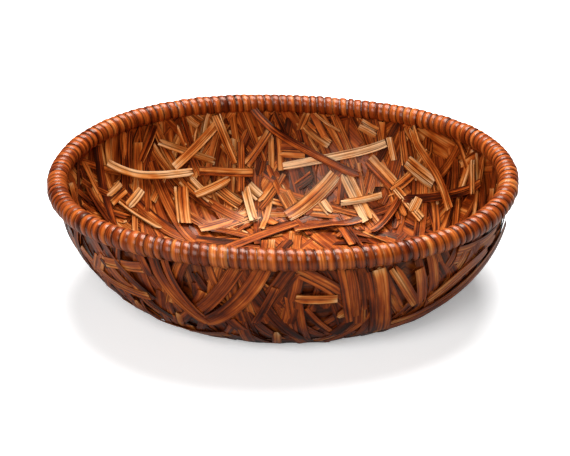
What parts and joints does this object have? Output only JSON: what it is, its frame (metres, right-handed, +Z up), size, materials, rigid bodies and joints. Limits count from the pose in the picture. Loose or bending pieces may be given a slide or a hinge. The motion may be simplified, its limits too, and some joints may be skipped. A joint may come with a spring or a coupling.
{
  "type": "winnowing basket",
  "caption": "Shallow oval winnowing basket of split bamboo in a random weave, with a cane-wrapped rim and a flat bottom.",
  "frame": {"origin": "on the floor, under the centre of the rim", "axes": "+X along the oval's length, +Y across it, +Z up"},
  "size_m": [0.3375, 0.2768, 0.0987],
  "materials": {
    "outer_strip": "dark red-brown lacquered split bamboo",
    "inner_strip": "lacquered split bamboo, tan to red-brown, fibrous at the ends",
    "backing": "broad smooth lacquered bamboo splints",
    "hoop": "dark lacquered bamboo",
    "cane": "glossy flat cane, orange-brown"
  },
  "bodies": {
    "root": {"backing_splint_1": "backing", "backing_splint_2": "backing", "backing_splint_3": "backing", "backing_splint_4": "backing", "backing_splint_5": "backing", "backing_splint_6": "backing", "inner_strip_a1": "inner_strip", "inner_strip_a2": "inner_strip", "inner_strip_a3": "inner_strip", "inner_strip_a4": "inner_strip", "inner_strip_a5": "inner_strip", "inner_strip_a6": "inner_strip", "inner_strip_b1": "inner_strip", "inner_strip_b2": "inner_strip", "inner_strip_b3": "inner_strip", "inner_strip_b4": "inner_strip", "inner_strip_b5": "inner_strip", "inner_strip_b6": "inner_strip", "inner_strip_c1": "inner_strip", "inner_strip_c2": "inner_strip", "inner_strip_c3": "inner_strip", "inner_strip_c4": "inner_strip", "inner_strip_c5": "inner_strip", "inner_strip_c6": "inner_strip", "outer_strip_a1": "outer_strip", "outer_strip_a2": "outer_strip", "outer_strip_a3": "outer_strip", "outer_strip_a4": "outer_strip", "outer_strip_a5": "outer_strip", "outer_strip_a6": "outer_strip", "outer_strip_b1": "outer_strip", "outer_strip_b2": "outer_strip", "outer_strip_b3": "outer_strip", "outer_strip_b4": "outer_strip", "outer_strip_b5": "outer_strip", "outer_strip_b6": "outer_strip", "outer_strip_c1": "outer_strip", "outer_strip_c2": "outer_strip", "outer_strip_c3": "outer_strip", "outer_strip_c4": "outer_strip", "outer_strip_c5": "outer_strip", "outer_strip_c6": "outer_strip", "rim_cane_1": "cane", "rim_cane_2": "cane", "rim_cane_3": "cane", "rim_cane_4": "cane", "rim_cane_5": "cane", "rim_cane_6": "cane", "rim_cane_7": "cane", "rim_cane_8": "cane", "rim_filler": "hoop", "rim_hoop_inner": "hoop", "rim_hoop_outer": "hoop"}
  },
  "joints": []
}
